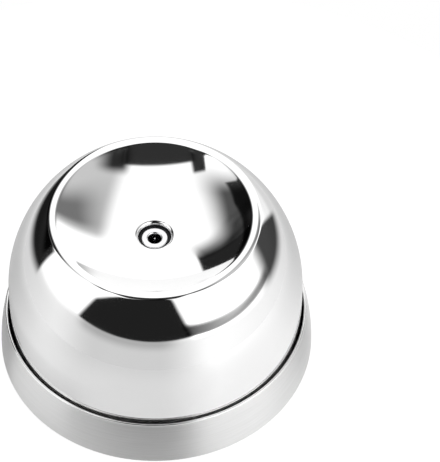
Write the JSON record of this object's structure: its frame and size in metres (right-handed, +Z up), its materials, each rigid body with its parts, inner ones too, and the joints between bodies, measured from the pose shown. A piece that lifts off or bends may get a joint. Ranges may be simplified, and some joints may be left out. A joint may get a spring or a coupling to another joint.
{
  "type": "egg piercer",
  "caption": "Press-down egg piercer: a polished steel dome with a dished top slides in a brushed base ring, so a fixed needle pricks an egg through an eyelet.",
  "frame": {"origin": "on the table, at the middle of the base", "axes": "+Z up along the dome's axis and the needle; the press is along -Z"},
  "size_m": [0.064, 0.064, 0.04],
  "materials": {
    "polished_steel": "mirror polished stainless steel",
    "brushed_steel": "stainless steel brushed round the ring",
    "bright_steel": "bright rolled or ground stainless steel",
    "screw_steel": "plain zinc-plated steel",
    "spring_steel": "bright drawn spring wire",
    "turned_brass": "turned",
    "black_plastic": "moulded, fine texture",
    "foot_rubber": "matt"
  },
  "bodies": {
    "base": {"base_ring": "brushed_steel", "base_chassis": "black_plastic", "bottom_cover": "black_plastic", "foot_ring": "foot_rubber", "cover_screws": "screw_steel", "needle": "bright_steel", "needle_carrier": "turned_brass", "return_spring": "spring_steel"},
    "dome": {"dome_shell": "polished_steel", "eyelet": "bright_steel", "eyelet_washer": "bright_steel", "dome_liner": "black_plastic"}
  },
  "joints": [
    {"name": "dome_press", "type": "slide", "parent": "base", "child": "dome", "axis": [0, 0, -1], "range_m": [0, 0.004], "stiffness_N_per_m": 480, "springref_m": -0.006, "deforming": ["return_spring"]}
  ]
}
